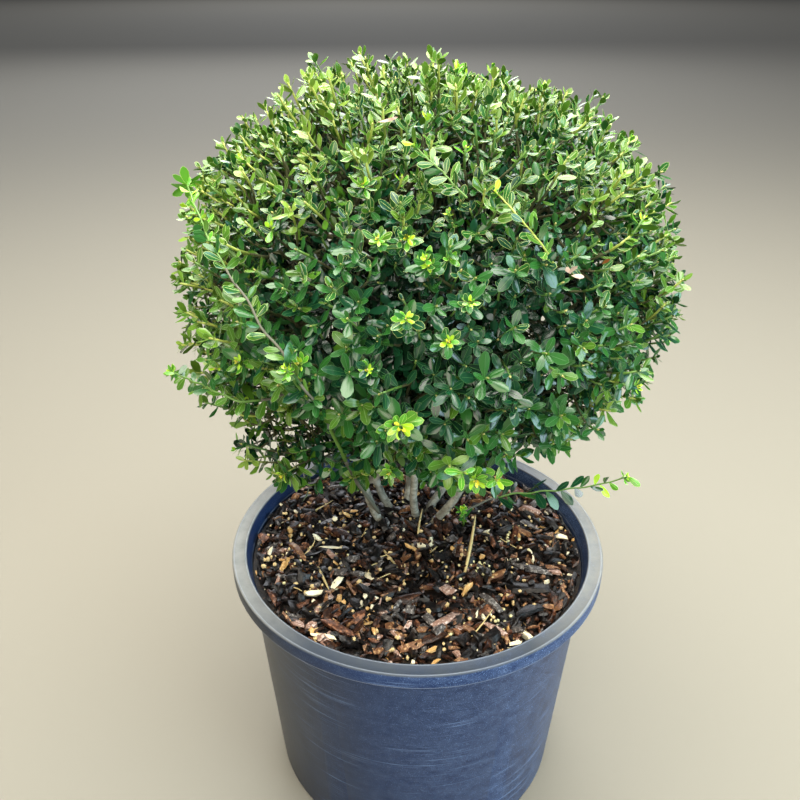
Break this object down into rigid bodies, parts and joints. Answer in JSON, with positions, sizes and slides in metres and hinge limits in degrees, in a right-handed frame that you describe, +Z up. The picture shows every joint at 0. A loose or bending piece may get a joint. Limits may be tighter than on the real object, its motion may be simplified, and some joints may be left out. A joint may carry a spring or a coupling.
{
  "type": "potted japanese holly",
  "caption": "Small-leaved evergreen shrub with a dense, rounded crown on a clump of thin grey stems, in a tapered round nursery pot filled with bark potting mix.",
  "frame": {"origin": "centre of the pot's flat underside", "axes": "+Z up, the pictured front faces -Y, +X to the right as seen from the front"},
  "size_m": [0.3517, 0.3542, 0.5415],
  "materials": {
    "pot": "scuffed dark blue-grey moulded plastic, satin",
    "mix": "moist shredded bark, matt",
    "bark": "smooth grey-brown bark, matt",
    "foliage": "small leathery leaves, glossy above"
  },
  "bodies": {
    "root": {"bough_lower_1": "bark", "bough_lower_2": "bark", "bough_lower_3": "bark", "bough_lower_4": "bark", "bough_lower_5": "bark", "bough_middle_1": "bark", "bough_middle_2": "bark", "bough_middle_3": "bark", "bough_middle_4": "bark", "bough_middle_5": "bark", "bough_middle_6": "bark", "bough_middle_7": "bark", "bough_top": "bark", "bough_upper_1": "bark", "bough_upper_2": "bark", "bough_upper_3": "bark", "bough_upper_4": "bark", "bough_upper_5": "bark", "foliage_lower_1": "foliage", "foliage_lower_2": "foliage", "foliage_lower_3": "foliage", "foliage_lower_4": "foliage", "foliage_lower_5": "foliage", "foliage_middle_1": "foliage", "foliage_middle_2": "foliage", "foliage_middle_3": "foliage", "foliage_middle_4": "foliage", "foliage_middle_5": "foliage", "foliage_middle_6": "foliage", "foliage_middle_7": "foliage", "foliage_top": "foliage", "foliage_upper_1": "foliage", "foliage_upper_2": "foliage", "foliage_upper_3": "foliage", "foliage_upper_4": "foliage", "foliage_upper_5": "foliage", "low_shoot": "foliage", "pot": "pot", "potting_mix": "mix", "stem_1": "bark", "stem_2": "bark", "stem_3": "bark", "stem_4": "bark", "stem_5": "bark", "stem_6": "bark"}
  },
  "joints": []
}
